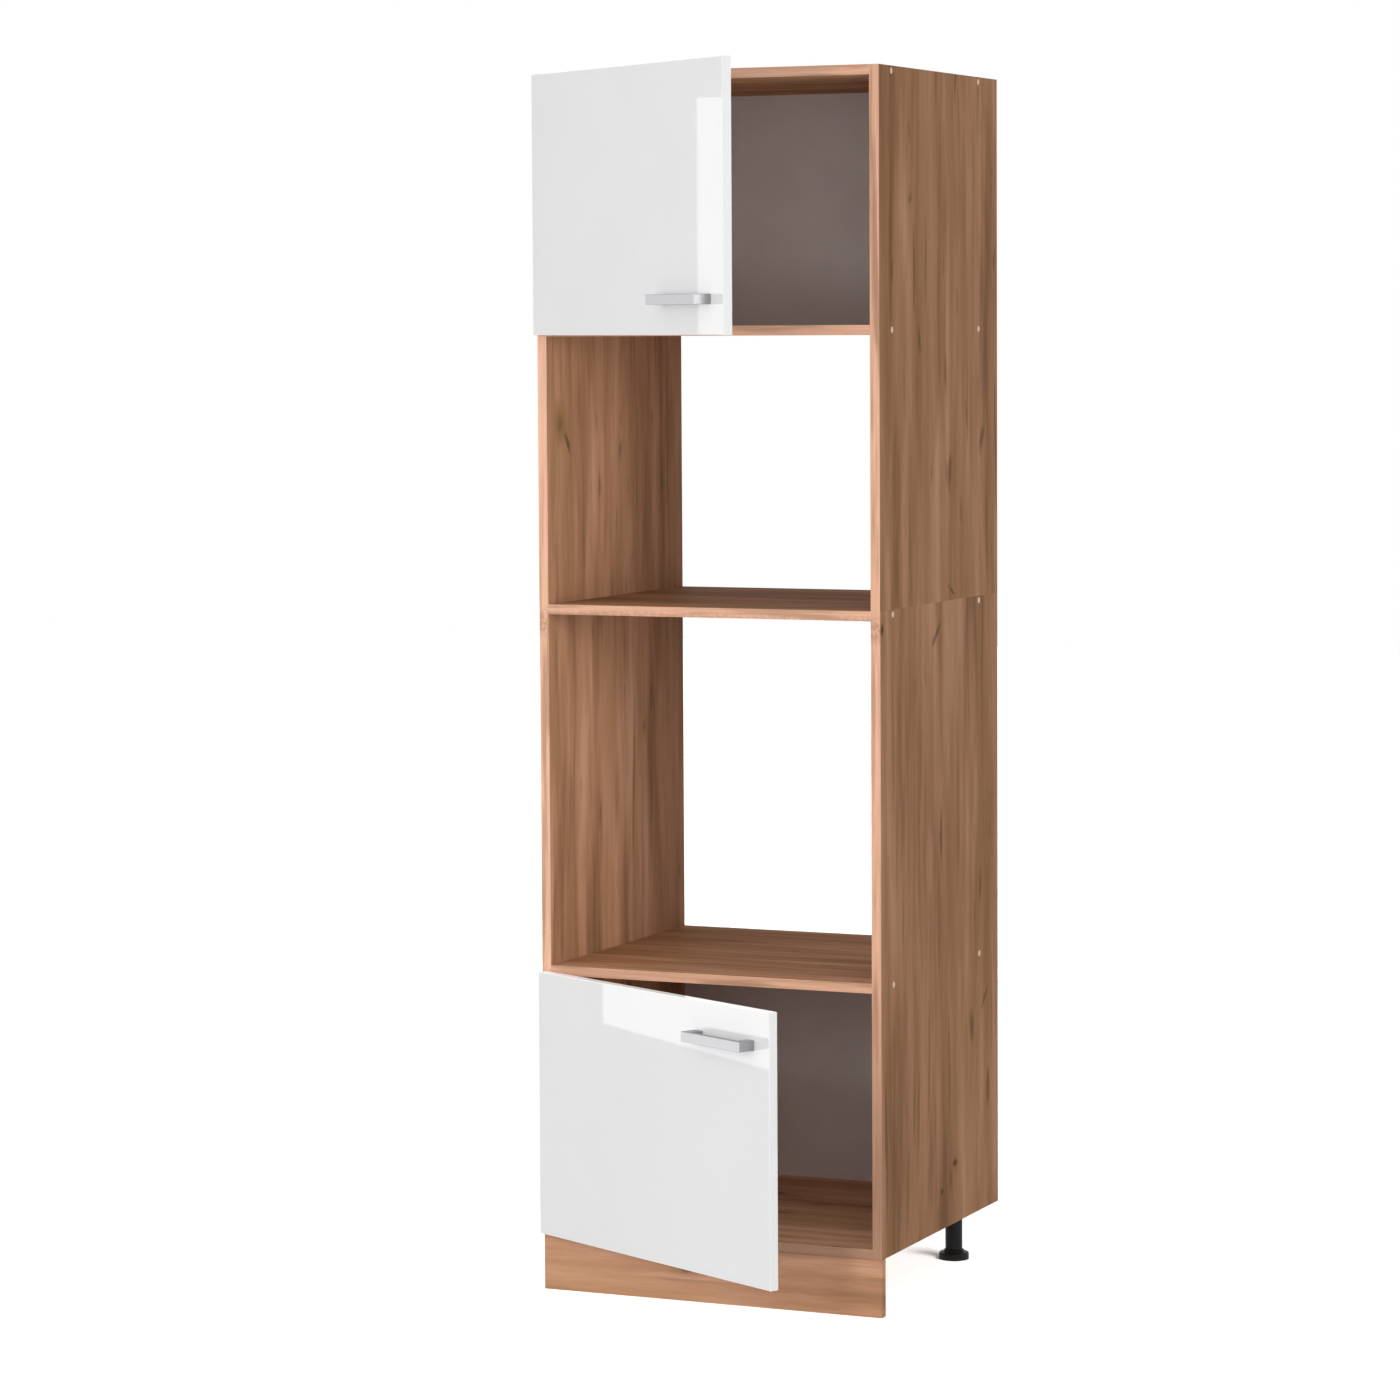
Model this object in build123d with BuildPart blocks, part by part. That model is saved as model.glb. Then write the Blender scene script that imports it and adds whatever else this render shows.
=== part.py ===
"""Tall housing unit for a built-in oven and a microwave.

Two open niches stand one above the other between an upper and a lower door compartment.
Frame in millimetres: X to the right, Y to the back, Z up. The origin lies on the floor at the
centre of the carcass footprint. Both doors stand ajar, as they are at rest.
"""
from build123d import *
from math import atan2, cos, degrees, hypot, radians, sin
import os

# Carcass boards
unit_width = 600.0
unit_depth = 540.0
unit_height = 2000.0
board = 16.0
edge_band = 0.8
plinth_space = 94.0  # floor to the underside of the sides
lower_shelf_height = 524.0  # undersides of the three shelves
middle_shelf_height = 1120.0
upper_shelf_height = 1574.0

# Back sheets and their nails
back_sheet = 3.0
back_inset = 2.0
nail_radius = 0.7
nail_length = 17.0
nail_head_radius = 1.6
nail_head = 0.5
nail_columns = 4
nail_margin = 60.0
side_nail_share = 0.34  # side nails sit at this share of the sheet's height, from both ends

# Joint fittings in the boards
screw_from_front = 55.0
screw_from_back = 90.0
dowel_step = 32.0  # a dowel lies this far from each board screw, towards the middle
screw_radius = 3.5
screw_length = 50.0
screw_head_radius = 4.6
screw_head = 3.0
screw_socket_radius = 2.0
screw_socket = 2.4
cap_radius = 5.2
cap = 0.8
dowel_radius = 4.0
dowel_length = 30.0
dowel_in_side = 11.0
bore_clearance = 0.1
cam_radius = 7.5
cam_height = 12.5
cam_from_end = 34.0
cam_from_front = 120.0
cam_from_back = 155.0
cam_bolt_radius = 3.0
cam_bolt_in_side = 11.0

# Seam between the lower and the upper sides
seam_dowel_inset = 150.0
seam_plate_width = 13.0
seam_plate_height = 80.0
seam_plate = 2.0
seam_screw_step = 26.0
small_screw_radius = 1.75
small_screw_head_radius = 3.4
small_screw_head = 1.5
small_screw_length = 14.0

# Legs and feet
leg_from_side = 60.0
leg_from_back = 55.0
leg_from_front = 60.0
leg_radius = 14.5
leg_bore_radius = 9.0
leg_bore_roof = 12.0
leg_fit = 0.05
socket_plate_size = 56.0
socket_plate = 3.0
socket_wall = 4.0
socket_depth = 20.0
socket_screw_step = 20.0
foot_radius = 25.5
foot_disc = 12.0
foot_collar_radius = 17.0
foot_collar = 4.0
foot_stem_length = 50.0
foot_gap = 0.4

# Plinth
plinth_thickness = 16.0
plinth_gap = 0.5
clip_wall = 2.4
clip_height = 20.0
clip_level = 45.0
clip_clearance = 0.3
clip_arm = 10.0
clip_base_width = 52.0
clip_bridge_width = 18.0

# Wall brackets under the top panel
bracket_from_side = 54.0
bracket_width = 30.0
bracket_leg = 30.0
bracket_plate = 2.5
wall_bore_radius = 3.5

# Doors
door_reveal = 1.5  # side margin of a closed door
door_thickness = 16.0
door_gap = 2.5  # between the closed door and the carcass
door_edge_radius = 1.0
upper_door_base = 2.0  # above the upper shelf's underside
upper_door_drop = 2.0  # below the unit's top
lower_door_base = 1.5  # above the sides' underside
lower_door_drop = 9.0  # below the lower shelf's top
upper_opening = 35.2  # angle of the door at rest
lower_opening = 27.5
bumper_radius = 4.0
bumper_height = 2.0
bumper_inset = 8.0

# Handles
handle_length = 146.0
handle_height = 16.0
handle_projection = 30.0
handle_bar = 9.0
handle_leg = 18.0
handle_from_door_edge = 55.0
handle_from_free_edge = 109.0
handle_outer_radius = 3.0
handle_inner_radius = 4.0
handle_edge = 0.8
handle_screw_spacing = 128.0
handle_screw_radius = 2.0
handle_screw_head_radius = 4.0
handle_screw_head = 2.2
handle_screw_depth = 9.0

# Cup hinges, measured from the closed unit's front left edge: X inwards, Y backwards
hinge_from_door_end = 80.0
arm_pin_outer = (47.0, 0.4)
arm_pin_inner = (46.9, 6.4)
cup_pin_outer = (15.5, -6.9)
cup_pin_inner = (15.5, -2.4)
outer_link_share = -0.28  # turn of each link for one degree of the door
inner_link_share = -0.39
pin_radius = 1.1
pin_clearance = 0.05
link_radius = 1.9
link_half_width = 1.1
inner_link_half = 2.6
outer_link_near = 4.3
outer_link_far = 5.7
slot_reach = 1.95
slot_half_width = 1.8
slot_wall = 0.6
cup_from_edge = 22.5
cup_radius = 17.5
cup_depth = 12.0
cup_wall = 1.3
cup_notch = 4.0  # depth of the cut in the rim that the links swing through
cup_arm_notch = 1.0  # the same on the far side, where the links lie in a closed door
cup_notch_half = 6.8
flange_width = 28.0
flange_height = 60.0
flange = 1.0
cup_screw_spacing = 45.0
cup_screw_offset = 9.5
lug_inner_near = 3.0
lug_outer_near = 6.1
lug_thickness = 0.9
lug_half_width = 1.9
arm_wall_near = 6.2
arm_wall = 1.3
arm_nose_front = 2.2
arm_nose_left = 2.6
arm_nose_right = 3.1
arm_bend_front = 14.0
arm_bend_back = 34.0
arm_reach_back = 66.0
arm_web = 1.5
hinge_plate = 2.5
hinge_plate_height = 52.0
hinge_plate_width = 20.0
hinge_plate_from_front = 37.0
hinge_plate_screw_step = 32.0
hinge_block_half = 6.0
hinge_block_rise = 10.0
hinge_block_from_arm_end = 2.0
arm_screw_from_front = 50.0
arm_screw_radius = 2.0
arm_screw_head_radius = 3.6
arm_screw_head = 1.6

# Derived places
half_width = unit_width / 2
inner_half = half_width - board
front = -unit_depth / 2
back = unit_depth / 2
board_front = front + edge_band
seam = middle_shelf_height + board
panel_heights = {
    "bottom_panel": plinth_space,
    "lower_shelf": lower_shelf_height,
    "middle_shelf": middle_shelf_height,
    "upper_shelf": upper_shelf_height,
    "top_panel": unit_height - board,
}
screw_rows = (front + screw_from_front, back - screw_from_back)
dowel_rows = (screw_rows[0] + dowel_step, screw_rows[1] - dowel_step)
cam_rows = (front + cam_from_front, back - cam_from_back)
seam_dowel_rows = (front + seam_dowel_inset, back - seam_dowel_inset)
leg_places = {
    "front_left": (leg_from_side - half_width, front + leg_from_front),
    "front_right": (half_width - leg_from_side, front + leg_from_front),
    "back_left": (leg_from_side - half_width, back - leg_from_back),
    "back_right": (half_width - leg_from_side, back - leg_from_back),
}
back_sheets = {
    "lower_back_panel": (plinth_space + back_inset, lower_shelf_height + board - back_inset),
    "upper_back_panel": (upper_shelf_height + back_inset, unit_height - back_inset),
}
upper_door_span = (upper_shelf_height + upper_door_base, unit_height - upper_door_drop)
lower_door_span = (plinth_space + lower_door_base, lower_shelf_height + board - lower_door_drop)
door_width = unit_width - 2 * door_reveal
door_front = -door_gap - door_thickness
handle_x = door_width - handle_from_free_edge
bracket_x = inner_half - bracket_from_side

right, left = Vector(1, 0, 0), Vector(-1, 0, 0)
rearward, forward = Vector(0, 1, 0), Vector(0, -1, 0)
up, down = Vector(0, 0, 1), Vector(0, 0, -1)
from_base = (Align.CENTER, Align.CENTER, Align.MIN)

os.makedirs("parts", exist_ok=True)


def finish(piece, name):
    """Labels a finished sub-part and writes it."""
    piece.part.label = name
    export_step(piece.part, f"parts/{name}.step")


def rod(start, direction, radius, length, mode=Mode.ADD):
    """Adds or cuts a round bar from start along direction."""
    with Locations(Plane(origin=start, z_dir=direction)):
        Cylinder(radius, length, align=from_base, mode=mode)


def drill(start, direction, radius, length):
    """Cuts a round hole from start along direction."""
    rod(start, direction, radius + bore_clearance, length, Mode.SUBTRACT)


def small_screw(face, direction):
    """Adds a small screw that is driven along direction, with its head on the face."""
    rod(face, direction, small_screw_radius, small_screw_length)
    rod(face, Vector(*direction) * -1, small_screw_head_radius, small_screw_head)


def block(low, high, mode=Mode.ADD, frame=Plane.XY):
    """Adds or cuts a box between two corners, given on a plane."""
    middle = frame.from_local_coords(Vector(*[(a + b) / 2 for a, b in zip(low, high)]))
    with Locations(Plane(origin=middle, x_dir=frame.x_dir, z_dir=frame.z_dir)):
        Box(*[b - a for a, b in zip(low, high)], mode=mode)


def on_plane(plane, x, y, z):
    """Gives the row's point of a place on a plane."""
    return plane.from_local_coords(Vector(x, y, z))


def nail_places(low, high):
    """Lists the nails of a back sheet between two heights, as X and Z."""
    rows = (low - back_inset + board / 2, high + back_inset - board / 2)
    reach = inner_half - nail_margin
    pitch = 2 * reach / (nail_columns - 1)
    across = [(index * pitch - reach, height) for height in rows for index in range(nail_columns)]
    share = side_nail_share * (high - low)
    heights = (low + share, high - share)
    beside = [(side * (half_width - board / 2), height) for side in (-1, 1) for height in heights]
    return across + beside


def hinge_heights(span):
    """Gives the heights of a door's two hinges."""
    return (span[0] + hinge_from_door_end, span[1] - hinge_from_door_end)


def plate_screw_heights(span):
    """Gives the heights of the screws in a door's two mounting plates."""
    half = hinge_plate_screw_step / 2
    return [height + offset for height in hinge_heights(span) for offset in (-half, half)]


def make_side(name, side, low, high):
    """Makes one side board between two heights, with the holes that its joints need."""
    inner, outer = side * inner_half, side * half_width
    inwards, outwards = (left, right) if side > 0 else (right, left)
    x_low, x_high = sorted((inner, outer))
    levels = [h + board / 2 for h in panel_heights.values() if low <= h + board / 2 <= high]
    with BuildPart() as board_side:
        block((x_low, board_front, low), (x_high, back, high))
        for level in levels:
            for y in dowel_rows:
                drill((inner, y, level), outwards, dowel_radius, dowel_in_side)
            if level < plinth_space + board:
                for y in cam_rows:
                    drill((inner, y, level), outwards, cam_bolt_radius, cam_bolt_in_side)
                continue
            for y in screw_rows:
                drill((outer, y, level), inwards, screw_radius, board)
                drill((outer, y, level), inwards, screw_head_radius, screw_head)
        middle_x = (inner + outer) / 2
        seam_direction = down if high == seam else up
        for y in seam_dowel_rows:
            drill((middle_x, y, seam), seam_direction, dowel_radius, dowel_length / 2)
        plate_screw_z = seam + seam_direction.Z * seam_screw_step / 2
        drill((middle_x, back, plate_screw_z), forward, small_screw_radius, small_screw_length)
        for sheet_low, sheet_high in back_sheets.values():
            for x, z in nail_places(sheet_low, sheet_high):
                if low < z < high and x_low < x < x_high:
                    drill((x, back, z), forward, nail_radius, nail_length)
        if side < 0:
            for span in (lower_door_span, upper_door_span):
                for z in plate_screw_heights(span):
                    if low < z < high:
                        y = front + hinge_plate_from_front
                        drill((inner, y, z), outwards, small_screw_radius, small_screw_length)
    finish(board_side, name)


def make_panel(name, low):
    """Makes one horizontal board, with its joint holes in both ends."""
    level = low + board / 2
    with BuildPart() as panel:
        block((-inner_half, board_front, low), (inner_half, back, low + board))
        for side, inwards in ((-1, right), (1, left)):
            end = side * inner_half
            for y in dowel_rows:
                drill((end, y, level), inwards, dowel_radius, dowel_length - dowel_in_side)
            if name == "bottom_panel":
                for y in cam_rows:
                    drill((end, y, level), inwards, cam_bolt_radius, cam_from_end)
                    cam_x = side * (inner_half - cam_from_end)
                    drill((cam_x, y, low), up, cam_radius, cam_height)
            else:
                for y in screw_rows:
                    drill((end, y, level), inwards, screw_radius, screw_length - board)
        for sheet_low, sheet_high in back_sheets.values():
            for x, z in nail_places(sheet_low, sheet_high):
                if low < z < low + board and abs(x) < inner_half:
                    drill((x, back, z), forward, nail_radius, nail_length)
        if name == "bottom_panel":
            for x, y in leg_places.values():
                for dx in (-socket_screw_step, socket_screw_step):
                    for dy in (-socket_screw_step, socket_screw_step):
                        depth = small_screw_length - socket_plate
                        drill((x + dx, y + dy, low), up, small_screw_radius, depth)
        if name == "top_panel":
            for x in (-bracket_x, bracket_x):
                y = back - bracket_leg / 2
                depth = small_screw_length - bracket_plate
                drill((x, y, low), up, small_screw_radius, depth)
    finish(panel, name)


# Sides, in two lengths, and the five horizontal boards
make_side("side_left_lower", -1, plinth_space, seam)
make_side("side_right_lower", 1, plinth_space, seam)
make_side("side_left_upper", -1, seam, unit_height)
make_side("side_right_upper", 1, seam, unit_height)
for panel_name, panel_low in panel_heights.items():
    make_panel(panel_name, panel_low)

# Decor strips on the boards' front edges
with BuildPart() as front_edge_bands:
    for side in (-1, 1):
        x_low, x_high = sorted((side * inner_half, side * half_width))
        block((x_low, front, plinth_space), (x_high, board_front, seam))
        block((x_low, front, seam), (x_high, board_front, unit_height))
    for panel_low in panel_heights.values():
        block((-inner_half, front, panel_low), (inner_half, board_front, panel_low + board))
finish(front_edge_bands, "front_edge_bands")

# Back sheets of the two compartments, nailed on from behind
for sheet_name, (sheet_low, sheet_high) in back_sheets.items():
    with BuildPart() as back_panel:
        reach = half_width - back_inset
        block((-reach, back, sheet_low), (reach, back + back_sheet, sheet_high))
        for x, z in nail_places(sheet_low, sheet_high):
            drill((x, back, z), rearward, nail_radius, back_sheet)
        if sheet_name == "upper_back_panel":
            for x in (-bracket_x, bracket_x):
                z = unit_height - board - bracket_leg / 2
                drill((x, back, z), rearward, wall_bore_radius, back_sheet)
    finish(back_panel, sheet_name)

with BuildPart() as back_nails:
    for sheet_low, sheet_high in back_sheets.values():
        for x, z in nail_places(sheet_low, sheet_high):
            rod((x, back + back_sheet, z), forward, nail_radius, nail_length)
            rod((x, back + back_sheet, z), rearward, nail_head_radius, nail_head)
finish(back_nails, "back_nails")

# Board screws through the sides into four of the boards, with their cover caps
screw_levels = [h + board / 2 for n, h in panel_heights.items() if n != "bottom_panel"]
with BuildPart() as board_screws:
    for side, inwards in ((-1, right), (1, left)):
        for y in screw_rows:
            for z in screw_levels:
                outer = (side * half_width, y, z)
                rod(outer, inwards, screw_radius, screw_length)
                rod(outer, inwards, screw_head_radius, screw_head)
                rod(outer, inwards, screw_socket_radius, screw_socket, Mode.SUBTRACT)
finish(board_screws, "board_screws")

with BuildPart() as screw_caps:
    for side, outwards in ((-1, left), (1, right)):
        for y in screw_rows:
            for z in screw_levels:
                outer = Vector(side * half_width, y, z)
                rod(outer, outwards, cap_radius, cap)
                rod(outer, outwards * -1, screw_socket_radius - bore_clearance, screw_socket)
finish(screw_caps, "screw_caps")

# Wooden dowels between the boards and across the seam of the sides
with BuildPart() as board_dowels:
    for side, inwards in ((-1, right), (1, left)):
        for y in dowel_rows:
            for panel_low in panel_heights.values():
                start = (side * (inner_half + dowel_in_side), y, panel_low + board / 2)
                rod(start, inwards, dowel_radius, dowel_length)
finish(board_dowels, "board_dowels")

with BuildPart() as seam_dowels:
    for side in (-1, 1):
        for y in seam_dowel_rows:
            x = side * (half_width - board / 2)
            rod((x, y, seam - dowel_length / 2), up, dowel_radius, dowel_length)
finish(seam_dowels, "seam_dowels")

# Cam fittings that hold the bottom panel between the sides
with BuildPart() as cam_housings:
    for side in (-1, 1):
        for y in cam_rows:
            x = side * (inner_half - cam_from_end)
            rod((x, y, plinth_space), up, cam_radius, cam_height)
            outwards = right if side > 0 else left
            drill((x, y, plinth_space + board / 2), outwards, cam_bolt_radius, cam_radius)
finish(cam_housings, "cam_housings")

with BuildPart() as cam_bolts:
    for side, inwards in ((-1, right), (1, left)):
        for y in cam_rows:
            start = (side * (inner_half + cam_bolt_in_side), y, plinth_space + board / 2)
            rod(start, inwards, cam_bolt_radius, cam_bolt_in_side + cam_from_end)
finish(cam_bolts, "cam_bolts")

# Flat plates on the rear edges that tie the upper sides to the lower ones
with BuildPart() as seam_plates:
    for side in (-1, 1):
        x = side * (half_width - board / 2)
        low = (x - seam_plate_width / 2, back, seam - seam_plate_height / 2)
        high = (x + seam_plate_width / 2, back + seam_plate, seam + seam_plate_height / 2)
        block(low, high)
        for dz in (-seam_screw_step / 2, seam_screw_step / 2):
            drill((x, back, seam + dz), rearward, small_screw_radius, seam_plate)
finish(seam_plates, "seam_plates")


# Leg sockets under the bottom panel, leg tubes and screw-in feet
socket_outer = leg_radius + leg_fit + socket_wall
with BuildPart() as leg_sockets:
    for x, y in leg_places.values():
        half = socket_plate_size / 2
        top = plinth_space
        block((x - half, y - half, top - socket_plate), (x + half, y + half, top))
        rod((x, y, top - socket_depth), up, socket_outer, socket_depth)
        rod((x, y, top - socket_depth), up, leg_radius + leg_fit,
            socket_depth - socket_plate, Mode.SUBTRACT)
        for dx in (-socket_screw_step, socket_screw_step):
            for dy in (-socket_screw_step, socket_screw_step):
                drill((x + dx, y + dy, top), down, small_screw_radius, socket_plate)
finish(leg_sockets, "leg_sockets")

with BuildPart() as leg_socket_screws:
    for x, y in leg_places.values():
        for dx in (-socket_screw_step, socket_screw_step):
            for dy in (-socket_screw_step, socket_screw_step):
                small_screw((x + dx, y + dy, plinth_space - socket_plate), up)
finish(leg_socket_screws, "leg_socket_screws")

leg_top = plinth_space - socket_plate
leg_foot = foot_disc + foot_collar + foot_gap
with BuildPart() as leg_tubes:
    for x, y in leg_places.values():
        rod((x, y, leg_foot), up, leg_radius, leg_top - leg_foot)
        bore = leg_top - leg_foot - leg_bore_roof
        rod((x, y, leg_foot), up, leg_bore_radius, bore, Mode.SUBTRACT)
finish(leg_tubes, "leg_tubes")

for place, (x, y) in leg_places.items():
    with BuildPart() as foot:
        rod((x, y, 0), up, foot_radius, foot_disc)
        fillet(foot.edges().filter_by(GeomType.CIRCLE).sort_by(Axis.Z)[-1], foot_disc / 4)
        rod((x, y, foot_disc), up, foot_collar_radius, foot_collar)
        stem = leg_bore_radius - leg_fit
        rod((x, y, foot_disc), up, stem, foot_collar + foot_stem_length)
    finish(foot, f"foot_{place}")

# Plinth board and the clips that hold it to the front legs
plinth_back = front + plinth_thickness
front_legs = (leg_places["front_left"], leg_places["front_right"])
clip_inner = leg_radius + clip_clearance
clip_outer = clip_inner + clip_wall
clip_low = clip_level - clip_height / 2
clip_high = clip_level + clip_height / 2
clip_screw_step = clip_base_width / 2 - small_screw_head_radius * 2
with BuildPart() as plinth_panel:
    block((-half_width, front, 0), (half_width, plinth_back, plinth_space - plinth_gap))
    for x, y in front_legs:
        for dx in (-clip_screw_step, clip_screw_step):
            depth = small_screw_length - clip_wall
            drill((x + dx, plinth_back, clip_level), forward, small_screw_radius, depth)
finish(plinth_panel, "plinth_panel")

with BuildPart() as plinth_clips:
    for x, y in front_legs:
        block((x - clip_base_width / 2, plinth_back, clip_low),
              (x + clip_base_width / 2, plinth_back + clip_wall, clip_high))
        block((x - clip_bridge_width / 2, plinth_back, clip_low),
              (x + clip_bridge_width / 2, y, clip_high))
        rod((x, y, clip_low), up, clip_outer, clip_height)
        block((x - clip_outer, y, clip_low), (x + clip_outer, y + clip_outer, clip_high))
        rod((x, y, clip_low), up, clip_inner, clip_height, Mode.SUBTRACT)
        block((x - clip_inner, y, clip_low),
              (x + clip_inner, y + clip_outer, clip_high), Mode.SUBTRACT)
        block((x - clip_outer, y + clip_arm, clip_low),
              (x + clip_outer, y + clip_outer, clip_high), Mode.SUBTRACT)
        for dx in (-clip_screw_step, clip_screw_step):
            drill((x + dx, plinth_back, clip_level), rearward, small_screw_radius, clip_wall)
finish(plinth_clips, "plinth_clips")

with BuildPart() as plinth_clip_screws:
    for x, y in front_legs:
        for dx in (-clip_screw_step, clip_screw_step):
            small_screw((x + dx, plinth_back + clip_wall, clip_level), forward)
finish(plinth_clip_screws, "plinth_clip_screws")

# Angle brackets in the upper compartment's rear corners, for the wall screws
bracket_top = unit_height - board
with BuildPart() as wall_brackets:
    for x in (-bracket_x, bracket_x):
        x_low, x_high = x - bracket_width / 2, x + bracket_width / 2
        block((x_low, back - bracket_leg, bracket_top - bracket_plate), (x_high, back, bracket_top))
        block((x_low, back - bracket_plate, bracket_top - bracket_leg), (x_high, back, bracket_top))
        drill((x, back - bracket_leg / 2, bracket_top), down, small_screw_radius, bracket_plate)
        drill((x, back, bracket_top - bracket_leg / 2), forward, wall_bore_radius, bracket_plate)
finish(wall_brackets, "wall_brackets")

# The screws of the seam plates and of the wall brackets
with BuildPart() as plate_screws:
    for side in (-1, 1):
        for dz in (-seam_screw_step / 2, seam_screw_step / 2):
            small_screw((side * (half_width - board / 2), back + seam_plate, seam + dz), forward)
    for x in (-bracket_x, bracket_x):
        small_screw((x, back - bracket_leg / 2, bracket_top - bracket_plate), up)
finish(plate_screws, "plate_screws")


def from_corner(point):
    """Turns a place measured from the unit's front left edge into the row's X and Y."""
    return (point[0] - half_width, point[1] + front)


def swing(point, centre, angle):
    """Turns a point about a centre, clockwise as seen from above."""
    dx, dy = point[0] - centre[0], point[1] - centre[1]
    turn = radians(angle)
    return (centre[0] + dx * cos(turn) + dy * sin(turn),
            centre[1] - dx * sin(turn) + dy * cos(turn))


def upright(origin, angle):
    """Gives a level plane with its X axis turned clockwise from the row's X axis."""
    turn = radians(angle)
    return Plane(origin=origin, x_dir=(cos(turn), -sin(turn), 0), z_dir=(0, 0, 1))


def make_door(level, span, opening, handle_height_place):
    """Makes one door with its handle and its two cup hinges."""
    pin_a, pin_b = from_corner(arm_pin_outer), from_corner(arm_pin_inner)
    closed_c, closed_d = from_corner(cup_pin_outer), from_corner(cup_pin_inner)
    closed_edge = from_corner((door_reveal, door_front))
    outer_turn, inner_turn = outer_link_share * opening, inner_link_share * opening
    pin_c = swing(closed_c, pin_a, outer_turn)

    def on_door(point):
        """Carries a closed door's place to the door at rest."""
        turned = swing(point, closed_c, opening)
        return (turned[0] + pin_c[0] - closed_c[0], turned[1] + pin_c[1] - closed_c[1])

    edge = on_door(closed_edge)
    base, top = span
    height = top - base
    door = upright((edge[0], edge[1], base), opening)
    inside, outside = door.y_dir, door.y_dir * -1
    heights = [z - base for z in hinge_heights(span)]
    cup_x, cup_floor = cup_from_edge, door_thickness - cup_depth
    c_local = (closed_c[0] - closed_edge[0], closed_c[1] - closed_edge[1])
    d_local = (closed_d[0] - closed_edge[0], closed_d[1] - closed_edge[1])
    handle_screws = [handle_x + step * handle_screw_spacing / 2 for step in (-1, 1)]
    cup_screws = [(cup_x + cup_screw_offset, z + step * cup_screw_spacing / 2)
                  for z in heights for step in (-1, 1)]
    bumpers = [(door_width - bumper_inset, z) for z in (bumper_inset, height - bumper_inset)]

    with BuildPart() as door_panel:
        block((0, 0, 0), (door_width, door_thickness, height), frame=door)
        fillet(door_panel.faces().sort_by(Axis(door.origin, inside))[0].edges(), door_edge_radius)
        for z in heights:
            cup_face = on_plane(door, cup_x, door_thickness, z)
            drill(cup_face, outside, cup_radius, cup_depth)
        for x, z in cup_screws:
            screw_depth = small_screw_length - flange
            drill(on_plane(door, x, door_thickness, z), outside, small_screw_radius, screw_depth)
        for x in handle_screws:
            drill(on_plane(door, x, 0, handle_height_place - base), inside,
                  handle_screw_radius, door_thickness)
    finish(door_panel, f"{level}_door")

    with BuildPart() as door_bumpers:
        for x, z in bumpers:
            rod(on_plane(door, x, door_thickness, z), inside, bumper_radius, bumper_height)
    finish(door_bumpers, f"{level}_door_bumpers")

    with BuildPart() as handle:
        handle_low = door.offset(handle_height_place - base - handle_height / 2)
        with BuildSketch(handle_low):
            with Locations((handle_x, -handle_projection / 2)):
                Rectangle(handle_length, handle_projection)
            corners = handle_low.to_local_coords
            fillet([v for v in vertices() if corners(v.center()).Y < -handle_projection / 2],
                   handle_outer_radius)
            gap_depth = handle_projection - handle_bar
            gap_width = handle_length - 2 * handle_leg
            with Locations((handle_x, -gap_depth / 2)):
                RectangleRounded(gap_width, gap_depth, handle_inner_radius, mode=Mode.SUBTRACT)
            with Locations((handle_x, -gap_depth / 4)):
                Rectangle(gap_width, gap_depth / 2, mode=Mode.SUBTRACT)
        extrude(amount=handle_height)
        long_edges = handle.faces().filter_by(Axis.Z).edges()
        fillet(long_edges, handle_edge)
        for x in handle_screws:
            drill(on_plane(door, x, 0, handle_height_place - base), outside,
                  handle_screw_radius, handle_screw_depth)
    finish(handle, f"{level}_handle")

    with BuildPart() as handle_bolts:
        for x in handle_screws:
            face = on_plane(door, x, door_thickness, handle_height_place - base)
            rod(face, outside, handle_screw_radius, door_thickness + handle_screw_depth)
            rod(face, inside, handle_screw_head_radius, handle_screw_head)
    finish(handle_bolts, f"{level}_handle_screws")

    with BuildPart() as cups:
        for z in heights:
            face = on_plane(door, cup_x, door_thickness, z)
            plate = Plane(origin=face, x_dir=door.x_dir, z_dir=inside)
            with BuildSketch(plate):
                RectangleRounded(flange_width, flange_height, flange_width / 4)
            extrude(amount=flange)
            rod(face, outside, cup_radius, cup_depth)
            rod(on_plane(door, cup_x, door_thickness + flange, z), outside,
                cup_radius - cup_wall, cup_depth + flange - cup_wall, Mode.SUBTRACT)
            for near_edge, depth in ((-cup_radius - flange, cup_notch),
                                     (cup_radius - cup_notch, cup_arm_notch)):
                block((cup_x + near_edge, door_thickness - depth, z - cup_notch_half),
                      (cup_x + near_edge + cup_notch + flange, door_thickness + flange,
                       z + cup_notch_half), Mode.SUBTRACT, door)
            for near, pins in ((lug_inner_near, (c_local, d_local)), (lug_outer_near, (c_local,))):
                for low in (z + near, z - near - lug_thickness):
                    with BuildSketch(door.offset(low)):
                        lug_height = pins[-1][1] - cup_floor
                        with Locations((c_local[0], cup_floor + lug_height / 2)):
                            Rectangle(2 * lug_half_width, lug_height)
                        with Locations(pins[-1]):
                            Circle(lug_half_width)
                        with Locations(*pins):
                            Circle(pin_radius + pin_clearance, mode=Mode.SUBTRACT)
                    extrude(amount=lug_thickness)
        for x, z in cup_screws:
            drill(on_plane(door, x, door_thickness, z), inside, small_screw_radius, flange)
    finish(cups, f"{level}_hinge_cups")

    with BuildPart() as cup_fixings:
        for x, z in cup_screws:
            small_screw(on_plane(door, x, door_thickness + flange, z), outside)
    finish(cup_fixings, f"{level}_hinge_cup_screws")

    pin_reach = lug_outer_near + lug_thickness
    short_reach = lug_inner_near + lug_thickness
    with BuildPart() as cup_pins:
        for z in heights:
            rod(on_plane(door, *c_local, z - pin_reach), up, pin_radius, 2 * pin_reach)
            rod(on_plane(door, *d_local, z - short_reach), up, pin_radius, 2 * short_reach)
    finish(cup_pins, f"{level}_hinge_cup_pins")

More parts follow.
